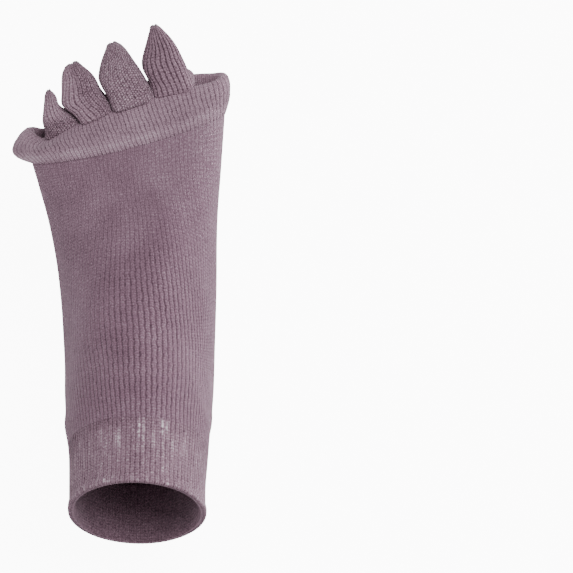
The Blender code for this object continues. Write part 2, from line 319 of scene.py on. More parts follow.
# %% [markdown]
# ## A sheet of knitting
#
# Columns of stitches are wales and rows are courses. A grid makes the flat sheet, with a few
# points to each wale so that it can stand up as a real ridge. Its map is counted in
# stitches, which lets a material draw each stitch where it belongs. Rolling the sheet moves
# its points to their places, and welding joins its long edges without a seam.

# %% Sheet, roll and weld
WALES = 112
POINTS_PER_WALE = 6
COLUMNS = WALES * POINTS_PER_WALE
COURSE = 1.45 * MM
WELD_REACH = 0.01 * MM


def flat_sheet(name, columns, rows):
    """A flat grid from 0 to 1 each way."""
    bm = bmesh.new()
    bmesh.ops.create_grid(bm, x_segments=columns, y_segments=rows, size=0.5)
    bmesh.ops.translate(bm, verts=bm.verts, vec=(0.5, 0.5, 0))
    mesh = bpy.data.meshes.new(name)
    bm.to_mesh(mesh)
    bm.free()
    return mesh


def roll_sheet(name, points, wales, courses, tone=0.0, nub=0.0):
    """Roll a sheet so that its points lie at points[row, column], and weld it.

    courses counts the stitches along the sheet, one value for each row.
    """
    rows, columns = points.shape[0] - 1, points.shape[1] - 1
    mesh = flat_sheet(name, columns, rows)
    flat = np.empty(len(mesh.vertices) * 3, np.float32)
    mesh.vertices.foreach_get("co", flat)
    flat = flat.reshape(-1, 3)
    i = np.rint(flat[:, 1] * rows).astype(int)
    j = np.rint(flat[:, 0] * columns).astype(int)
    mesh.vertices.foreach_set("co", points[i, j].astype(np.float32).ravel())
    for title, value in (("tone", tone), ("nub", nub)):
        spread = np.broadcast_to(value, points.shape[:2])[i, j]
        layer = mesh.attributes.new(title, "FLOAT", "POINT")
        layer.data.foreach_set("value", spread.astype(np.float32))
    corner = np.empty(len(mesh.loops), np.int32)
    mesh.loops.foreach_get("vertex_index", corner)
    stitches = np.stack([j[corner] / columns * wales, np.asarray(courses)[i[corner]]], axis=1)
    mesh.uv_layers.new(name="stitches").data.foreach_set("uv", stitches.astype(np.float32).ravel())
    bm = bmesh.new()
    bm.from_mesh(mesh)
    bmesh.ops.remove_doubles(bm, verts=bm.verts, dist=WELD_REACH)
    bm.to_mesh(mesh)
    bm.free()
    mesh.shade_smooth()
    obj = bpy.data.objects.new(name, mesh)
    bpy.context.scene.collection.objects.link(obj)
    return obj


print("a sheet has", WALES, "wales and", COLUMNS, "columns of points")

# %% [markdown]
# Wales never run quite straight, so a rolled sheet is slid round itself by a little at each
# place. The order matters: the smooth form is slid first, and the ridges are raised on it
# afterwards. Slid the other way round, the ridges and their shading drift apart, and the
# cloth shows false arcs.

# %% Slide and raise
RIDGE_POWER = 0.75
RIDGE_BASE = 0.7
RIDGE_MID = 0.75


def outward(points):
    """The outward direction at each point of a rolled sheet."""
    ring = np.concatenate([points[:, -2:-1], points, points[:, 1:2]], axis=1)
    around = ring[:, 2:] - ring[:, :-2]
    along = np.gradient(points, axis=0)
    normal = np.cross(around, along)
    return normal / np.maximum(np.linalg.norm(normal, axis=2, keepdims=True), 1e-12)


def slide(points, shift):
    """Slide each row of a rolled sheet round itself, by a share of the way round."""
    columns = points.shape[1] - 1
    place = (np.arange(columns + 1)[None] / columns + shift) % 1.0 * columns
    low = np.floor(place).astype(int) % columns
    part = (place - np.floor(place))[..., None]
    rows = np.arange(len(points))[:, None]
    return points[rows, low] * (1 - part) + points[rows, (low + 1) % columns] * part


def raised_form(distances, start, end, rows, drift, rise):
    """The form at some distances, slid round by drift and then raised by rise.

    The outward directions are taken from evenly spaced rows of the plain form.
    """
    directions = outward(form(np.linspace(start, end, rows), COLUMNS))
    near = np.rint((distances - start) / (end - start) * (rows - 1)).astype(int)
    directions = directions[np.clip(near, 0, rows - 1)]
    return slide(form(distances, COLUMNS), drift) + slide(directions, drift) * rise[..., None]


def ridge(u, wales):
    """A wale's profile: a round back, and a narrow groove at each side."""
    return np.abs(np.sin(math.pi * u * wales)) ** RIDGE_POWER


def dress(obj, material, slot, *nodes):
    """Give a piece its finish, and let it stand for its solids."""
    obj.data.materials.append(material)
    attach(obj, "root")
    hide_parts(*nodes)
    print(obj.name, len(obj.data.polygons), "faces")


print("a wale's profile", np.round(ridge(np.linspace(0, 1, POINTS_PER_WALE + 1), 1), 2))

# %% [markdown]
# ## The stitch
#
# A material draws the stitches from the sheet's map. Each stitch is worked out once, in a
# node group, and every finish of the sock uses the same groups. These helpers make a group
# and string its sums together, so that the groups below read like the sums they are.

# %% Helpers for node groups
FLOAT, VECTOR = "NodeSocketFloat", "NodeSocketVector"


def feed(tree, socket, value):
    """Give a socket a plain value, or link it to another node's result."""
    if isinstance(value, bpy.types.NodeSocket):
        tree.links.new(value, socket)
    else:
        socket.default_value = value


def maths(tree, operation, *values):
    """A math node on sockets or plain numbers, and its result."""
    node = tree.nodes.new("ShaderNodeMath")
    node.operation = operation
    for place, value in enumerate(values):
        feed(tree, node.inputs[place], value)
    return node.outputs[0]


def arch(tree, value):
    """0 at each whole number, with a round back of height 1 between."""
    return maths(tree, "SINE", maths(tree, "MULTIPLY", maths(tree, "FRACT", value), math.pi))


def noise(tree, where, scale, detail=2.0):
    """A noise texture's value at a vector."""
    node = tree.nodes.new("ShaderNodeTexNoise")
    feed(tree, node.inputs["Scale"], scale)
    node.inputs["Detail"].default_value = detail
    tree.links.new(where, node.inputs["Vector"])
    return node.outputs["Fac"]


def new_group(name, inputs, outputs):
    """An empty shader group with its named inputs and outputs."""
    group = bpy.data.node_groups.new(name, "ShaderNodeTree")
    for socket, kind, value in inputs:
        made = group.interface.new_socket(socket, in_out="INPUT", socket_type=kind)
        if value is not None:
            made.default_value = value
    for socket, kind in outputs:
        group.interface.new_socket(socket, in_out="OUTPUT", socket_type=kind)
    print("group", name)
    return group, group.nodes.new("NodeGroupInput"), group.nodes.new("NodeGroupOutput")


# %% [markdown]
# Plain knitting shows a column of Vs. Two strands lean out from the middle of the wale, and
# each V tucks into the one before. The place across the wale gives the two strands, and the
# place along it, pushed on by how far out it is, gives the slanting loops. The group puts out
# a height for the bump, and a gap that is deep where the height is low and light can't reach.

# %% The plain stitch
PLAIN_WANDER_SCALE = 420
STRAND_SLIMNESS, STRAND_OFFSET = 1.7, -0.75


def stitch_group(name, *settings):
    """A group that is fed the stitch map and a place, and gives a height and a gap."""
    group, given, result = new_group(
        name,
        (("Stitches", VECTOR, None), ("Place", VECTOR, None), *settings),
        (("Height", FLOAT), ("Gap", FLOAT)),
    )
    apart = group.nodes.new("ShaderNodeSeparateXYZ")
    group.links.new(given.outputs["Stitches"], apart.inputs[0])
    return group, given, result, apart.outputs[0], apart.outputs[1]


def wandering(group, given, scale):
    """A push to and fro, so that no stitch sits quite in its place."""
    push = maths(group, "SUBTRACT", noise(group, given.outputs["Place"], scale), 0.5)
    return maths(group, "MULTIPLY", push, given.outputs["Uneven"])


def give_height(group, result, height):
    """Put out the height, and the gap that it leaves."""
    group.links.new(height, result.inputs["Height"])
    group.links.new(maths(group, "SUBTRACT", 1.0, height), result.inputs["Gap"])
    return group


def make_plain_stitch():
    """Height of plain knitting, from a map that counts stitches."""
    group, given, result, wale, course = stitch_group(
        "plain_stitch", ("Slant", FLOAT, 0.55), ("Uneven", FLOAT, 0.2)
    )
    wander = wandering(group, given, PLAIN_WANDER_SCALE)
    across = maths(group, "FRACT", maths(group, "ADD", wale, wander))
    out = maths(group, "ABSOLUTE", maths(group, "MULTIPLY_ADD", across, 2.0, -1.0))
    off_strand = maths(group, "MULTIPLY_ADD", out, STRAND_SLIMNESS, STRAND_OFFSET)
    strand = maths(group, "SUBTRACT", 1.0, maths(group, "ABSOLUTE", off_strand))
    strand = maths(group, "POWER", maths(group, "MAXIMUM", strand, 0.0), 0.7)
    pushed = maths(group, "MULTIPLY_ADD", out, given.outputs["Slant"], course)
    loop = arch(group, maths(group, "ADD", pushed, wander))
    height = maths(group, "MULTIPLY", strand, maths(group, "MULTIPLY_ADD", loop, 0.7, 0.3))
    return give_height(group, result, height)


PLAIN_STITCH = make_plain_stitch()

# %% [markdown]
# The wrong side of plain knitting shows no Vs but small round bumps, two to a wale and
# staggered like bricks. The dividers are turned so that it shows on some of them. Two arches
# multiplied, one across and one along, make the bump.

# %% The nubby stitch
NUBBY_WANDER_SCALE = 900
NUBS_PER_WALE = 2.0
NUBS_PER_COURSE = 1.15


def make_nubby_stitch():
    """Height of the knit's wrong side: staggered rows of small round bumps."""
    group, given, result, wale, course = stitch_group("nubby_stitch", ("Uneven", FLOAT, 1.6))
    wander = wandering(group, given, NUBBY_WANDER_SCALE)
    across = maths(group, "MULTIPLY_ADD", wale, NUBS_PER_WALE, wander)
    step = maths(group, "MULTIPLY", maths(group, "FLOOR", across), 0.5)
    along = maths(group, "MULTIPLY_ADD", course, NUBS_PER_COURSE, maths(group, "ADD", step, wander))
    bump = maths(group, "MULTIPLY", arch(group, across), arch(group, along))
    return give_height(group, result, maths(group, "POWER", bump, 0.8))


NUBBY_STITCH = make_nubby_stitch()

# %% [markdown]
# Spun yarn is never one flat colour. Fine noise stands for the fuzz, coarser noise for single
# fibres that catch the light, and slow noise for the way that dye takes better in one place
# than in another.

# %% The yarn's fibres


def make_yarn_fibre():
    """Fine fuzz, specks and slow changes of shade, for any yarn."""
    group, given, result = new_group(
        "yarn_fibre",
        (("Place", VECTOR, None), ("Patches", FLOAT, 55.0)),
        (("Fuzz", FLOAT), ("Speck", FLOAT), ("Shade", FLOAT)),
    )
    layers = (("Fuzz", 3000, 3.0), ("Speck", 1100, 2.0), ("Shade", given.outputs["Patches"], 3.0))
    for title, scale, detail in layers:
        layer = noise(group, given.outputs["Place"], scale, detail)
        group.links.new(layer, result.inputs[title])
    return group


YARN_FIBRE = make_yarn_fibre()

# %% [markdown]
# ## Mauve yarn
#
# The yarn is a matt cotton blend: no gloss, and a little light caught by loose fibres at the
# edges. The small nodes below are what every knit of the sock needs: its map and place, the
# numbers stored on its points, and a blend of two colours.

# %% Small nodes for a finish


def use_group(tree, group, where, **values):
    """A group node fed with the piece's map and place."""
    node = tree.nodes.new("ShaderNodeGroup")
    node.node_tree = group
    for socket, value in values.items():
        node.inputs[socket].default_value = value
    for socket, source in (("Stitches", "UV"), ("Place", "Object")):
        if socket in node.inputs:
            tree.links.new(where.outputs[source], node.inputs[socket])
    return node


def attribute(tree, name):
    """A number stored on the piece's points."""
    node = tree.nodes.new("ShaderNodeAttribute")
    node.attribute_name = name
    return node.outputs["Fac"]


def mix_colours(tree, first, second, share):
    """A blend of two colours, and its result."""
    node = tree.nodes.new("ShaderNodeMix")
    node.data_type = "RGBA"
    for socket, value in (("A", first), ("B", second), ("Factor", share)):
        feed(tree, node.inputs[socket], value)
    return node.outputs["Result"]


def swing(tree, value, depth):
    """A value from 0 to 1, made to swing about 0."""
    return maths(tree, "MULTIPLY_ADD", value, depth, -depth / 2)


def both_sides(tree, plain, nubby, nub, output, nub_share):
    """The plain stitch's output, giving way to the nubby one's where the cloth is nubby."""
    plain_share = maths(tree, "SUBTRACT", 1.0, nub)
    flat = maths(tree, "MULTIPLY", plain.outputs[output], plain_share)
    nub_share = maths(tree, "MULTIPLY", nub, nub_share)
    return maths(tree, "MULTIPLY_ADD", nubby.outputs[output], nub_share, flat)


MATT_YARN = {
    "Roughness": 0.95,
    "Specular IOR Level": 0.12,
    "Sheen Weight": 0.22,
    "Sheen Roughness": 0.4,
    "Sheen Tint": (0.9, 0.74, 0.84, 1),
}
print("matt yarn", MATT_YARN)

# %% [markdown]
# One maker builds each knit of the sock. A knit has three colours: the yarn in the light, the
# yarn in painted shade down in the gaps, and a pale painted highlight on the loops and fibres
# that stand out furthest. One number, the darkness, runs between them: above zero it goes towards
# the painted shade of the gaps, and below zero towards the painted highlight. What else differs
# is how deep the stitches are and how much their size wanders.

# %% A knit finish
NUB_HEIGHT, NUB_GAP_SHADE = 1.3, 1.9
GAP_SHADE = 0.55
FUZZ_DEPTH, FUZZ_HEIGHT = 0.9, 0.4
PATCH_DEPTH = 0.6
SPECK_HEIGHT = 0.9


def knit_finish(name, light, dark, pale, relief, uneven=0.35, speck_depth=1.3):
    """Mauve knitting, drawn stitch by stitch from a piece's map."""
    material = bpy.data.materials.new(name)
    material.use_nodes = True
    tree = material.node_tree
    surface = tree.nodes["Principled BSDF"]
    for socket, value in MATT_YARN.items():
        surface.inputs[socket].default_value = value

    where = tree.nodes.new("ShaderNodeTexCoord")
    plain = use_group(tree, PLAIN_STITCH, where, Uneven=uneven)
    nubby = use_group(tree, NUBBY_STITCH, where)
    fibre = use_group(tree, YARN_FIBRE, where)
    nub, tone = attribute(tree, "nub"), attribute(tree, "tone")
    height = both_sides(tree, plain, nubby, nub, "Height", NUB_HEIGHT)
    gap = both_sides(tree, plain, nubby, nub, "Gap", NUB_GAP_SHADE)

    fuzz = swing(tree, fibre.outputs["Fuzz"], FUZZ_DEPTH)
    speck = swing(tree, fibre.outputs["Speck"], speck_depth)
    patch = swing(tree, fibre.outputs["Shade"], PATCH_DEPTH)
    lift = maths(tree, "ADD", maths(tree, "ADD", fuzz, speck), maths(tree, "ADD", patch, tone))
    # Painted shade: the gaps between stitches are darkened, and the tone stored on the points adds its
    # painted shade and light.
    darkness = maths(tree, "SUBTRACT", maths(tree, "MULTIPLY", gap, GAP_SHADE), lift)
    yarn = mix_colours(tree, (*light, 1), (*dark, 1), darkness)
    # Painted highlight: where the lift outweighs the gap shade, the colour turns towards the pale highlight.
    caught = mix_colours(tree, yarn, (*pale, 1), maths(tree, "MULTIPLY", darkness, -1.0))
    tree.links.new(caught, surface.inputs["Base Color"])

    height = maths(tree, "MULTIPLY_ADD", fibre.outputs["Fuzz"], FUZZ_HEIGHT, height)
    height = maths(tree, "MULTIPLY_ADD", fibre.outputs["Speck"], SPECK_HEIGHT, height)
    bump = tree.nodes.new("ShaderNodeBump")
    bump.inputs["Distance"].default_value = relief
    tree.links.new(height, bump.inputs["Height"])
    tree.links.new(bump.outputs["Normal"], surface.inputs["Normal"])
    print("finish", name, "with stitches", round(relief / MM, 2), "mm deep")
    return material


# %% [markdown]
# The four knits are one yarn. The tube is stretched furthest; it is the darkest and the flattest
# of the four knits. The cuff shows more pale specks, painted highlights on its elastic thread. The
# band and the dividers are padded from within, which opens their stitches. The lighter colours of
# the cuff, the band and the dividers come partly from their looser stitches and partly from
# painted light.

# %% The four knits
# Pale colour of the painted highlights on the cuff, the band and the dividers.
PALE_HIGHLIGHT = (0.72, 0.62, 0.68)

tube_knit = knit_finish(
    "tube_knit", (0.230, 0.138, 0.186), (0.062, 0.031, 0.047), (0.55, 0.43, 0.50), 0.28 * MM, uneven=0.8
)
cuff_knit = knit_finish(
    "cuff_knit", (0.27, 0.168, 0.218), (0.068, 0.034, 0.051), PALE_HIGHLIGHT, 0.32 * MM, speck_depth=1.7
)
band_knit = knit_finish("band_knit", (0.35, 0.228, 0.290), (0.075, 0.040, 0.058), PALE_HIGHLIGHT, 0.32 * MM)
divider_knit = knit_finish(
    "divider_knit", (0.34, 0.218, 0.278), (0.066, 0.034, 0.050), PALE_HIGHLIGHT, 0.36 * MM, speck_depth=1.6
)

# %% [markdown]
# ## The foot tube
#
# From the cuff to the toe band the sock is one plain tube. Where the foot stretches it the
# columns lie flat, and round the front of the ankle, where the cloth is slack, they stand up
# as wavy ridges. So each wale gets a real ridge whose height follows the place, and the
# whole sheet drifts a little from side to side. In all that follows, u is the share of the
# way round the sheet and v is the distance down the front.

# %% Slack cloth and drifting wales
GIRTH = 210 * MM
SLACK_PLACE, SLACK_SPREAD, SLACK_CLOSING = 0.520, 0.165, 0.045
STRETCHED_RELIEF, SLACK_RELIEF = 0.09, 0.40
LEAN, LEAN_PLACE, LEAN_SPREAD = 7.5 * MM, 0.63, 0.13


def slack(u, v):
    """Where the ankle's cloth is slack: in front, and more on the big toe's side."""
    along = eased(v, CUFF_LENGTH - 4 * MM, CUFF_LENGTH + 4 * MM) * (1 - eased(v, 95 * MM, 150 * MM))
    closing = SLACK_CLOSING * eased(v, 50 * MM, 100 * MM)
    front = np.exp(-(((u - SLACK_PLACE - closing) / (SLACK_SPREAD - closing)) ** 4))
    return 0.9 * along * front


def tube_relief(u, v):
    """How high the wales stand."""
    return (STRETCHED_RELIEF + SLACK_RELIEF * slack(u, v)) * MM


def wale_lean(u, v):
    """How far the wales swing over to the big toe's side, coming down across the ankle."""
    return LEAN * np.exp(-(((u - LEAN_PLACE) / LEAN_SPREAD) ** 2)) * (1 - eased(v, 40 * MM, 125 * MM))


def wale_drift(u, v):
    """How far the wales lie from their even places."""
    broad = waves(u, v / SOCK_LENGTH, 12, (2, 4, 7), (2.0, 4.0, 7.0))
    fine = waves(u, v / SOCK_LENGTH, 13, (11, 19, 31), (19.0, 30.0, 43.0))
    return wale_lean(u, v) + (0.25 + slack(u, v)) * (0.16 * broad + 0.17 * fine) * MM


print("ridges on the slack ankle", round(tube_relief(SLACK_PLACE, 60 * MM) / MM, 2), "mm")

# %% [markdown]
# A single skin of cloth would be seen through at the openings. So the sheet goes out along
# the tube, turns over a small lip, and comes home along the inside, a wall's thickness in.
# One extra row close to each end holds the shading flat up to the lip.

# %% A tube's rows
INSIDE_STEP = 6 * MM
END_STEP = 0.12 * MM
LIP_TURN = np.array([0.3, 0.0, 0.3])
LIP_DEPTH = np.array([0.15, 0.5, 0.85])


def shell_rows(start, end, step, wall, lips):
    """Distances and depths of a sheet that goes out along a tube and comes home inside it.

    lips: how far the two ends are rounded.
    """
    first, last = start + lips[0], end - lips[1]
    outer = np.linspace(first, last, round((end - start) / step) + 1)
    outer = np.concatenate([outer[:1], outer[:1] + END_STEP, outer[1:-1], outer[-1:] - END_STEP, outer[-1:]])
    inner = np.linspace(last, first, round((end - start) / INSIDE_STEP) + 1)
    far_lip, near_lip = end - lips[1] * LIP_TURN, start + lips[0] * LIP_TURN
    distances = np.concatenate([outer, far_lip, inner, near_lip, outer[:1]])
    depths = np.concatenate([outer * 0, LIP_DEPTH, inner * 0 + 1, LIP_DEPTH[::-1], [0.0]])
    return distances, depths * wall


print("rows of a 34 mm cuff", len(shell_rows(0.0, CUFF_LENGTH, 1 * MM, 2 * MM, (0.0, 0.0))[0]))

# %% [markdown]
# The tube and the cuff are knitted in the same way. Each gets its ridges, its lift and its
# tone from small functions of the place. The tone makes a groove darker than a ridge, a painted
# shade because between two wales there is little light, and it paints shade on the inside as well.

# %% How a tube is knitted
DIRECTION_ROWS = 160
SWELL = 0.25 * MM
GROOVE_SHADE, INSIDE_SHADE = 1.1, 0.15


def flush(u, v):
    """No lift: the cloth lies on the form."""
    return 0.0


def knit_tube(name, span, step, wall, lips, relief_at, tone_at, rise_at=flush, edge_shade=0.0):
    """A tube of knitting with its wales raised, its inside, and a tone that follows the grooves."""
    start, end = span
    distances, depths = shell_rows(start, end, step, wall, lips)
    u, v = np.linspace(0, 1, COLUMNS + 1)[None], distances[:, None]
    outside = 1 - np.clip(depths / wall, 0, 1)[:, None]
    relief = relief_at(u, v)
    rib = ridge(u, WALES)
    rise = outside * (relief * (rib - RIDGE_BASE) + rise_at(u, v)) - depths[:, None]
    rise += SWELL * waves(u, v / SOCK_LENGTH, 10)
    points = raised_form(distances, start, end, DIRECTION_ROWS, wale_drift(u, v) / GIRTH, rise)
    groove = (rib - RIDGE_MID) * relief / MM * GROOVE_SHADE
    tone = outside * (groove + tone_at(u, v)) - INSIDE_SHADE * (1 - outside)
    edge = np.exp(-((v - start) / (0.35 * MM)) ** 2) * np.exp(-(((1 - outside) - 0.4) / 0.3) ** 2)
    tone = tone - edge_shade * edge
    courses = running_total(np.hypot(np.diff(distances), np.diff(depths))) / COURSE
    return roll_sheet(name, points, WALES, courses, tone=tone)


print("ridges stand on the form at", RIDGE_BASE, "of their height")

# %% [markdown]
# The tube is paler near the toe band, most on the big toe's side, and paler near the cuff too.
# Its far end tucks under the toe band by a fraction of a millimetre, so that no light comes in
# between.

# %% The foot tube
TUBE_STEP, TUBE_WALL = 1.55 * MM, 2.0 * MM
TUBE_GAP, TUBE_TUCK = 0.05 * MM, 0.3 * MM


def tube_tone(u, v):
    """Paler towards the cuff and towards the toe band, most on the big toe's side."""
    near_cuff = 0.10 * (1 - eased(v, CUFF_LENGTH, CUFF_LENGTH + 12 * MM))
    near_band = eased(v, BAND_START - 60 * MM, BAND_START) * (0.12 + 0.16 * eased(u, 0.5, 0.62))
    return near_cuff + near_band


tube = knit_tube(
    "foot_knit", (CUFF_LENGTH + TUBE_GAP, BAND_START + TUBE_TUCK), TUBE_STEP, TUBE_WALL,
    (0.02 * MM, 0.3 * MM), tube_relief, tube_tone,
)
dress(tube, tube_knit, "tube_knit", "foot_tube")

# %% [markdown]
# ## The cuff
#
# The cuff is knitted with an elastic thread, which pulls it in and raises its ribs. At the
# leg opening the knitting is turned in on itself, so the last few millimetres are a small
# round hem.

# %% The cuff's ribs and hem
HEM_WIDTH = 4 * MM
HEM_ROLL = 0.6 * MM


def cuff_relief(u, v):
    """How high the ribs stand."""
    return (0.24 + 0.10 * waves(u, v / CUFF_LENGTH, 5, (7, 13, 19), (0.3, 0.6, 0.9))) * MM


def hem_rise(u, v):
    """The turned hem, a low round roll at the opening."""
    return HEM_ROLL * np.sqrt(np.clip(1 - (2 * v / HEM_WIDTH - 0.9) ** 2, 0, 1))


print("hem stands out", round(hem_rise(0.0, 0.45 * HEM_WIDTH) / MM, 2), "mm")

# %% [markdown]
# Here and there the elastic lets loops pop out, and painted highlights make them bright, in
# broken streaks that run along the wales. The strongest streaks are listed, one row of the table
# each. Weaker ones come from waves, and so do the painted highlights that speckle the hem's loops.

# %% The cuff's painted highlights
GLINTS = (
    # round, start, end, brightness
    (0.560, 0.70, 1.05, 1.30),
    (0.569, 0.73, 1.05, 1.00),
    (0.563, 0.10, 0.75, 0.35),
    (0.510, 0.60, 1.03, 0.80),
    (0.519, 0.45, 1.03, 0.60),
    (0.519, 0.15, 0.60, 0.25),
    (0.620, 0.65, 1.00, 0.38),
    (0.612, 0.35, 0.75, 0.25),
    (0.470, 0.40, 0.90, 0.38),
    (0.461, 0.55, 0.85, 0.28),
    (0.425, 0.50, 0.95, 0.32),
    (0.433, 0.30, 0.65, 0.24),
)
GLINT_WIDTH, GLINT_STRENGTH = 0.0026, 1.1
FAINT_STREAKS = 0.22


def glint_streaks(u, v, lies):
    """Painted highlights: bright loops along the wales."""
    share = v / CUFF_LENGTH
    streaks = FAINT_STREAKS * np.maximum(0, waves(u, share, 8, (31, 47, 58), (0.5, 1.1, 1.9)))
    broken = 0.7 + 0.5 * waves(u, share, 14, (9, 23, 41), (6.0, 9.0, 13.0))
    for place, start, end, brightness in GLINTS:
        along = eased(share, start, start + 0.15) * (1 - eased(share, end - 0.1, end))
        across = np.exp(-(((lies - place) / GLINT_WIDTH) ** 2))
        streaks = streaks + GLINT_STRENGTH * brightness * across * along * broken
    return streaks


def hem_loop_highlights(u, v):
    """Painted highlights: bright loops in clusters on the hem."""
    loops = np.exp(-(((v - 1.3 * MM) / (1.0 * MM)) ** 2))
    loops = loops * np.maximum(0, 0.15 + 0.55 * waves(u, v / HEM_WIDTH, 9, (37, 53, 71), (0.3, 0.6, 0.9)))
    return loops * (0.25 + 1.1 * eased(waves(u, 0 * v, 15, (7, 11, 17)), -0.1, 0.6))


print(len(GLINTS), "streaks of bright loops")

# %% [markdown]
# Away from the front, the cuff's far end takes on the tube's darker shade, so that the change
# from one knit to the other is soft there. The rim of the opening is darkened, because the
# turned edge shades itself.

# %% The cuff
CUFF_STEP, CUFF_WALL = 0.75 * MM, 2.3 * MM
FRONT_PLACE, FRONT_SPREAD = 0.54, 0.13
RIM_SHADE = 0.7


def cuff_tone(u, v):
    """Painted highlights on the elastic loops, and a far end that blends into the tube."""
    share = v / CUFF_LENGTH
    lies = u + wale_lean(u, v) / GIRTH
    front = np.exp(-(((lies - FRONT_PLACE) / FRONT_SPREAD) ** 4))
    blend = 0.18 * eased(share, 0.45, 1.0) * (1 - front) + 0.10 * eased(share, 0.8, 1.0)
    return glint_streaks(u, v, lies) + hem_loop_highlights(u, v) - blend


cuff = knit_tube(
    "cuff_knit", (0.0, CUFF_LENGTH), CUFF_STEP, CUFF_WALL, (0.5 * MM, 0.02 * MM),
    cuff_relief, cuff_tone, hem_rise, RIM_SHADE,
)
dress(cuff, cuff_knit, "cuff_knit", "cuff")

# %% [markdown]
# ## The toe band
#
# A soft padded tube goes round the toe joints. Its sheet is rolled twice: round the foot, and
# round the padding, out over the crown, back along the inside and home to the crease. The
# table is the padding's outline, as shares of the band's width, its puff and its wall.

# %% The padding's outline
BAND_WALL = 4 * MM
BAND_PUFF = 2.2 * MM
BAND_PADDING = np.array((
    # along, out, deep
    (0.000, 0.05, 0.00),
    (0.040, 0.20, 0.00),
    (0.120, 0.46, 0.00),
    (0.260, 0.78, 0.00),
    (0.440, 0.97, 0.00),
    (0.620, 1.00, 0.00),
    (0.800, 0.86, 0.00),
    (0.920, 0.55, 0.00),
    (0.985, 0.15, 0.05),
    (1.000, 0.00, 0.30),
    (0.995, 0.00, 0.65),
    (0.965, 0.00, 0.93),
    (0.860, 0.00, 1.00),
    (0.500, 0.00, 1.00),
    (0.030, 0.00, 1.00),
    (0.015, 0.00, 0.55),
    (0.000, 0.05, 0.00),
))
PADDING_ROWS = 76


def walk_rows(table, scales, count):
    """Walk evenly through a table's rows, whose columns are scaled to lengths."""
    steps = running_total(np.linalg.norm(np.diff(table * scales, axis=0), axis=1))
    wanted = np.linspace(0, steps[-1], count + 1)
    rows = np.stack([np.interp(wanted, steps, column) for column in table.T], axis=1)
    for _ in range(2):
        rows[1:-1] = (rows[:-2] + 2 * rows[1:-1] + rows[2:]) / 4
    return rows


padding = walk_rows(BAND_PADDING, (BAND_WIDTH, BAND_PUFF, -BAND_WALL), PADDING_ROWS)
print("padding walked in", len(padding), "rows")

# %% [markdown]
# The band ends on the toe line, which slants and bows across the foot: furthest ahead at the
# big toe. The last section of the table says where it runs. At both sides the padded edge
# flares on a little, because nothing beside it holds it back.

# %% The toe line
TOP_ALONG, TOP_HEIGHT, SOLE_ALONG, SOLE_HEIGHT, OUTER, INNER, _, _, ROLL, FULLNESS = FOOT_SECTIONS[-1]
TOE_LINE_END = -58 * MM


def foot_place(points):
    """Distance along the sole, and height over it."""
    y, z = points[..., 1] - HEEL_Y, points[..., 2] - HEEL_Z
    return y * COS_PITCH + z * SIN_PITCH, z * COS_PITCH - y * SIN_PITCH


def across_toe_line(x):
    """-1 at the little toe's side, 1 at the big toe's side."""
    return (x / BALL_WIDTH - (INNER - OUTER) / 2) / ((INNER + OUTER) / 2)


def toe_line_along(x, height):
    """Distance along the sole of the toe line, at a place across the foot and a height."""
    unrolled = (height - ROLL * TOE_LINE_THICKNESS * across_toe_line(x)) / ANKLE_HEIGHT
    share = (unrolled - SOLE_HEIGHT) / (TOP_HEIGHT - SOLE_HEIGHT)
    straight = FOOT_LENGTH * (SOLE_ALONG + (TOP_ALONG - SOLE_ALONG) * share)
    return straight + advance(np.maximum(x, TOE_LINE_END))


def side_flare(x):
    """How far the band's edge runs on beside the little toe and the big toe."""
    return 7.5 * MM * eased(-x, 50 * MM, 60 * MM) + 1.8 * MM * eased(x, 33 * MM, 44 * MM)


def run_to_toe_line(points, along_band, distances):
    """Move the band's far edge along the sole until it ends on the toe line."""
    along, height = foot_place(points)
    x = points[..., 0]
    wanted = toe_line_along(x, height) + side_flare(x) + distances[:, None] - SOCK_LENGTH
    moved = (wanted - along) * along_band ** 3
    points[..., 1] += moved * COS_PITCH
    points[..., 2] += moved * SIN_PITCH
    return points


print("toe line, m from the heel", round(toe_line_along(0.0, TOP_HEIGHT * ANKLE_HEIGHT), 4))

# %% [markdown]
# The padding is fullest beside the little toe. Near the big toe it has been squeezed flat in
# its crease, so the puff fades there. The tone paints a pale highlight on the crown near the
# crease, and painted shade towards the big toe that dims it there.

# %% Puff, drift and tone of the band
BAND_SIDE_PUFF = 6.5 * MM
BAND_BIG_TOE_PUFF = 1.2 * MM
BAND_SWING = 0.028


def band_puff(u):
    """How far the padding stands out, round the foot."""
    round_foot = 2 * math.pi * u
    little_toe_side = np.maximum(0, np.sin(round_foot)) ** 3
    big_toe_side = np.maximum(0, -np.sin(round_foot)) ** 3
    puff = BAND_PUFF * (1 + 0.25 * np.cos(2 * math.pi * (u - 0.40)))
    puff = puff + BAND_SIDE_PUFF * little_toe_side + BAND_BIG_TOE_PUFF * big_toe_side
    return puff * (1 - 0.5 * eased(u, 0.50, 0.62) * (1 - eased(u, 0.70, 0.78)))


def band_drift(u, along_band):
    """How far the band's wales swing out of line."""
    swung = BAND_SWING * np.cos(2 * math.pi * u) * along_band
    return swung + 0.25 * MM / GIRTH * waves(u, along_band, 33, (9, 17, 29), (1.0, 2.5, 4.0))


def band_tone(u, along_band, outside, rib):
    """A painted highlight on the crown near the crease, painted shade towards the big toe, and painted shade
    in the grooves.
    """
    # Painted highlight on the crown, near the crease.
    crown = 0.30 * np.exp(-((along_band - 0.16) / 0.13) ** 2)
    # Painted shade towards the big toe.
    big_toe_shade = 0.20 * eased(u, 0.52, 0.66) * (1 - eased(along_band, 0.1, 0.7))
    return outside * (crown - big_toe_shade + (rib - RIDGE_MID) * 0.38)


print("puff at the little toe's side", round(band_puff(0.25) / MM, 1), "mm")

# %% [markdown]
# Now the band is put together: its distances, its rise over the form, and the run to the toe
# line. It is a padded piece, filled to about six tenths of the room inside it.

# %% The toe band
BAND_DIRECTION_ROWS = 40
BAND_COURSES = 46
BAND_RELIEF = 0.26 * MM
BAND_SWELL = 0.35 * MM

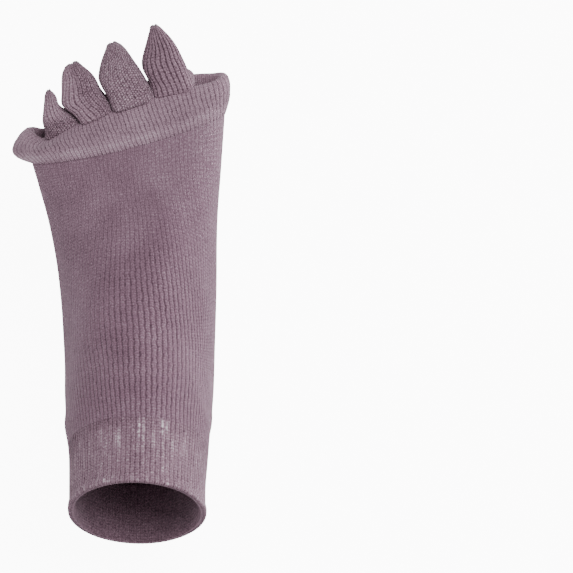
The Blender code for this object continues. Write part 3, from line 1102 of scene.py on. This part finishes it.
along_band, out, deep = padding[:, 0:1], padding[:, 1:2], padding[:, 2:3]
distances = BAND_START + along_band[:, 0] * BAND_WIDTH
u = np.linspace(0, 1, COLUMNS + 1)[None]
outside = 1 - eased(deep, 0.0, 0.3)
rib = ridge(u, WALES)
swell = BAND_SWELL * waves(u, along_band, 31, (3, 6, 9), (0.5, 1.0, 1.5)) * np.sin(math.pi * along_band)
rise = out * band_puff(u) - deep * BAND_WALL + outside * (BAND_RELIEF * (rib - RIDGE_BASE) + swell)
drift = band_drift(u, along_band)
points = raised_form(distances, BAND_START, SOCK_LENGTH, BAND_DIRECTION_ROWS, drift, rise)
points = run_to_toe_line(points, along_band, distances)
tone = band_tone(u, along_band, outside, rib)
band = roll_sheet("toe_band_knit", points, WALES, np.linspace(0, BAND_COURSES, len(points)), tone=tone)
dress(band, band_knit, "band_knit", "toe_band")

# %% [markdown]
# ## The toe dividers
#
# Each divider is a padded knitted tongue between two toes. From above it is a rounded leaf:
# its sides leave the crease, part from their neighbours, and bow in to the tip. The first
# table has the five places where they part, the second has the four tongues.

# %% The dividers' tables
TOE_CREASES = (
    # base, split, ahead
    (0.270, 0.205, 0.52),
    (0.064, -0.012, 0.51),
    (-0.148, -0.237, 0.56),
    (-0.310, -0.432, 0.42),
    (-0.507, -0.522, 0.42),
)
# The shade column lightens the knit of dividers 2 to 4 and darkens that of divider 1, as painted light and
# shade.
DIVIDERS = (
    # number, length, tip_outer, tip_inner, rise, shade
    (1, 1.05, 0.036, 0.081, 0.06, -0.18),
    (2, 1.00, -0.189, -0.130, 0.11, 0.22),
    (3, 0.95, -0.410, -0.332, 0.08, 0.06),
    (4, 0.71, -0.506, -0.478, 0.06, 0.13),
)
DIVIDER_BOW = 0.12
EDGE_SMOOTHING = 40


def divider_edge(crease_row, tip, ahead, length, bow):
    """Where a divider's edge is across the foot, along its crease and then in to its tip."""
    start, split, split_ahead = crease_row
    split_ahead *= DIVIDER_LENGTH
    share = np.clip((ahead - split_ahead) / (length - split_ahead), 0, 1)
    bowed = share - bow * 4 * share * (1 - share)
    closed = start + (split - start) * np.clip(ahead / split_ahead, 0, 1)
    edge = np.where(ahead < split_ahead, closed, split + (tip - split) * bowed)
    for _ in range(EDGE_SMOOTHING):
        edge[5:-5] = (edge[4:-6] + edge[5:-5] + edge[6:-4]) / 3
    return BALL_WIDTH * edge


for number, length, *_ in DIVIDERS:
    print("divider", number, "is", round(length * DIVIDER_LENGTH / MM, 1), "mm long")

# %% [markdown]
# A tongue's rows run from a closed base, just inside the band, to a closed tip. Four rows at
# each end share one place and only shrink, which rounds the end off like the tip of a finger.

# %% A divider's rows
DIVIDER_SETBACK = 1.6 * MM
BASE_CAP = [0, 0.45, 0.8, 0.95]
TIP_CAP = [0.95, 0.8, 0.5, 0]


def divider_rows(length, rows):
    """Each row's distance ahead of the crease, its share of the way to the tip, and its size."""
    share = np.linspace(0, 1, rows - len(BASE_CAP) - len(TIP_CAP)) ** 0.95
    caps = np.concatenate([BASE_CAP, np.ones(len(share)), TIP_CAP])
    ahead = -DIVIDER_SETBACK + share * (length + DIVIDER_SETBACK)
    ahead = np.pad(ahead, (len(BASE_CAP), len(TIP_CAP)), mode="edge")
    share = np.pad(share, (len(BASE_CAP), len(TIP_CAP)), mode="edge")
    base_round = np.sqrt(1 - (1 - np.clip(share / 0.07, 0, 1)) ** 2 * 0.16)
    tip_round = np.sqrt(1 - ((share - 0.9) / 0.1).clip(0) ** 2 * 0.15)
    return ahead, share, base_round * tip_round * caps


print("size of the first rows", np.round(divider_rows(DIVIDER_LENGTH, 92)[2][:8], 2))

# %% [markdown]
# In wear a tongue's sides are pressed in, so its section is thick above and below and thin
# between. At the base it has to stay over the band's lower edge. The under half of the tip is
# drawn back and made narrower, because a full lobe would peep out past the upper one.

# %% A divider's form
PINCH, PINCH_HEIGHT, PINCH_SPREAD = 0.58, -0.08, 0.36
BASE_FULLNESS, FULLNESS_LOSS = 5.0, 1.9
TIP_HEIGHT = 13 * MM
UNDER_DRAWN_BACK, UNDER_NARROWED = 0.36, 0.2
BASE_CLEARANCE = 0.8 * MM


def band_edge(x, side):
    """Height of the toe line's upper edge, side 1, or lower edge, side -1."""
    across = across_toe_line(x)
    upward = np.clip(1 - np.abs(across) ** FULLNESS, 0, 1) ** (1 / FULLNESS)
    middle, half = (TOP_HEIGHT + SOLE_HEIGHT) / 2, (TOP_HEIGHT - SOLE_HEIGHT) / 2
    return ANKLE_HEIGHT * (middle + side * half * upward) + ROLL * TOE_LINE_THICKNESS * across


def divider_points(number, length, tip_outer, tip_inner, rise, rows, columns):
    """A divider's rolled sheet, from a closed base to a closed tip."""
    length, rise = length * DIVIDER_LENGTH, rise * TOE_LINE_THICKNESS
    ahead, share, size = divider_rows(length, rows)
    inner = divider_edge(TOE_CREASES[number - 1], tip_inner, ahead, length, DIVIDER_BOW)
    outer = divider_edge(TOE_CREASES[number], tip_outer, ahead, length, 0.0)
    centre = (inner + outer) / 2
    high, low = TOP_HEIGHT * ANKLE_HEIGHT + rise, SOLE_HEIGHT * ANKLE_HEIGHT
    thick = (high - low) * (1 - (1 - TIP_HEIGHT / (high - low)) * share**2.2)
    lowered = (band_edge(centre, 1) + rise - high) * (1 - eased(share, 0.0, 0.5))
    width = (inner - outer) * size * (1.07 - 0.07 * share)

    ahead, share = ahead[:, None], share[:, None]
    fullness = BASE_FULLNESS - FULLNESS_LOSS * eased(share, 0.0, 0.3)
    upward = squared(np.sin(WALK), fullness)
    pressed = PINCH * np.exp(-(((upward - PINCH_HEIGHT) / PINCH_SPREAD) ** 2)) * eased(share, 0.0, 0.25)
    across = squared(np.cos(WALK), fullness) * (1 - pressed)
    under = np.clip(-upward, 0, 1)
    x = centre[:, None] + across * width[:, None] / 2 * (1 - UNDER_NARROWED * under)
    height = (high + low) / 2 + (thick / 2 * size)[:, None] * upward + lowered[:, None] * (upward + 1) / 2
    lifted = np.maximum(0, band_edge(x, -1) + BASE_CLEARANCE - height)
    height = height + lifted * (1 - eased(share, 0.05, 0.5))
    back = UNDER_DRAWN_BACK * under * eased(share, 0.0, 0.5) * thick[:, None]
    back = np.minimum(back, 0.7 * np.maximum(ahead, 0))
    y, z = foot_point(toe_line_along(x, height) + ahead - back, height)
    return walk_evenly(np.stack([x, y, z], axis=2), columns), share


print("the band's edges in the middle", [round(band_edge(0.0, side), 4) for side in (1, -1)])

# %% [markdown]
# The four tongues are knitted like the rest, but each shows another face: the first its
# ribbed right side, the second its nubby wrong side, and the others a part of each. They are
# padded more firmly than the band, because they have to keep their form in wear.

# %% The dividers
DIVIDER_WALES = 36
DIVIDER_ROWS = 92
DIVIDER_RELIEF, NUBBY_FLATTENING = 0.42, 0.30
DIVIDER_GROOVE_SHADE = 1.3
NUBBY_AT = {
    1: lambda u, share: 0.0,
    2: lambda u, share: 0.95,
    3: lambda u, share: eased(u, 0.45, 0.55) * (1 - eased(u, 0.8, 0.9)) * 0.8,
    4: lambda u, share: 1 - eased(share, 0.35, 0.6),
}

for number, length, tip_outer, tip_inner, rise, shade in DIVIDERS:
    points, share = divider_points(
        number, length, tip_outer, tip_inner, rise, DIVIDER_ROWS, DIVIDER_WALES * POINTS_PER_WALE
    )
    u = np.linspace(0, 1, points.shape[1])[None]
    fade = eased(share, 0.0, 0.06) * (1 - eased(share, 0.93, 1.0))
    points = slide(points, 0.004 * waves(u, share, 50 + number, (3, 5, 8), (1.0, 2.0, 3.5)) * fade)
    nubby = NUBBY_AT[number](u, share)
    rib = ridge(u, DIVIDER_WALES)
    relief = (DIVIDER_RELIEF - NUBBY_FLATTENING * nubby) * MM
    lumps = 0.4 * MM * waves(u, share, 40 + number, (1, 2, 4), (0.6, 1.3, 2.1))
    raised = fade * (relief * (rib - RIDGE_BASE) + lumps)
    points = points + outward(points) * raised[..., None]
    tone = fade * (rib - RIDGE_MID) * relief / MM * DIVIDER_GROOVE_SHADE + shade
    courses = share[:, 0] * length * DIVIDER_LENGTH / COURSE
    tongue = roll_sheet(
        f"toe_divider_{number}_knit", points, DIVIDER_WALES, courses, tone=tone, nub=nubby
    )
    dress(tongue, divider_knit, "divider_knit", f"toe_divider_{number}")

# %% [markdown]
# ## The floor
#
# A pale floor lies just under the heel. In the picture it is burnt out to a plain white, so
# it glows, and it glows more for the camera than for the sock: otherwise it would light the
# sock's flanks from below and wash out the knit.

# %% The floor
FLOOR_Z = solid_box[0].z - 0.5 * MM
FLOOR_HALF = 6
FLOOR_GLOW, FLOOR_GLOW_SEEN = 1.1, 9.0

bm = bmesh.new()
bmesh.ops.create_grid(bm, x_segments=1, y_segments=1, size=FLOOR_HALF)
bmesh.ops.translate(bm, verts=bm.verts, vec=(0, 0, FLOOR_Z))
floor_mesh = bpy.data.meshes.new("floor")
bm.to_mesh(floor_mesh)
bm.free()
floor = bpy.data.objects.new("floor", floor_mesh)
bpy.context.scene.collection.objects.link(floor)

paper = bpy.data.materials.new("paper")
paper.use_nodes = True
sheet = paper.node_tree.nodes["Principled BSDF"]
sheet.inputs["Base Color"].default_value = (0.93, 0.93, 0.93, 1)
sheet.inputs["Roughness"].default_value = 0.9
sheet.inputs["Emission Color"].default_value = (1, 1, 1, 1)
seen = paper.node_tree.nodes.new("ShaderNodeLightPath").outputs["Is Camera Ray"]
glowing = maths(paper.node_tree, "MULTIPLY_ADD", seen, FLOOR_GLOW_SEEN, FLOOR_GLOW)
paper.node_tree.links.new(glowing, sheet.inputs["Emission Strength"])
floor.data.materials.append(paper)
print("floor at", round(FLOOR_Z, 4), "m")

# %% [markdown]
# ## The light
#
# A large soft lamp stands off to the picture's right, a little behind the sock, so that its
# light rakes over the ridges. A weaker one stands in front, and a dim pale sky fills the
# rest. The left flank stays darker, as it does in the picture.

# %% The light
SKY_STRENGTH = 0.46
middle = (solid_box[0] + solid_box[1]) / 2


def lamp(name, right, up, near, size, power):
    """A square soft lamp, placed as seen in the picture."""
    light = bpy.data.lights.new(name, "AREA")
    light.size = size
    light.energy = power
    obj = bpy.data.objects.new(name, light)
    away = in_picture(right, up, near)
    obj.location = middle + away
    obj.rotation_mode = "QUATERNION"
    obj.rotation_quaternion = away.to_track_quat("Z", "Y")
    bpy.context.scene.collection.objects.link(obj)
    print("lamp", name, round(away.length, 2), "m away")


lamp("key", 1.3, 0.6, -0.48, 0.4, 50)
lamp("fill", 0.42, 0.5, 1.15, 0.8, 17)

sky = bpy.data.worlds.new("studio")
sky.use_nodes = True
sky.node_tree.nodes["Background"].inputs["Color"].default_value = (1, 1, 1, 1)
sky.node_tree.nodes["Background"].inputs["Strength"].default_value = SKY_STRENGTH
bpy.context.scene.world = sky
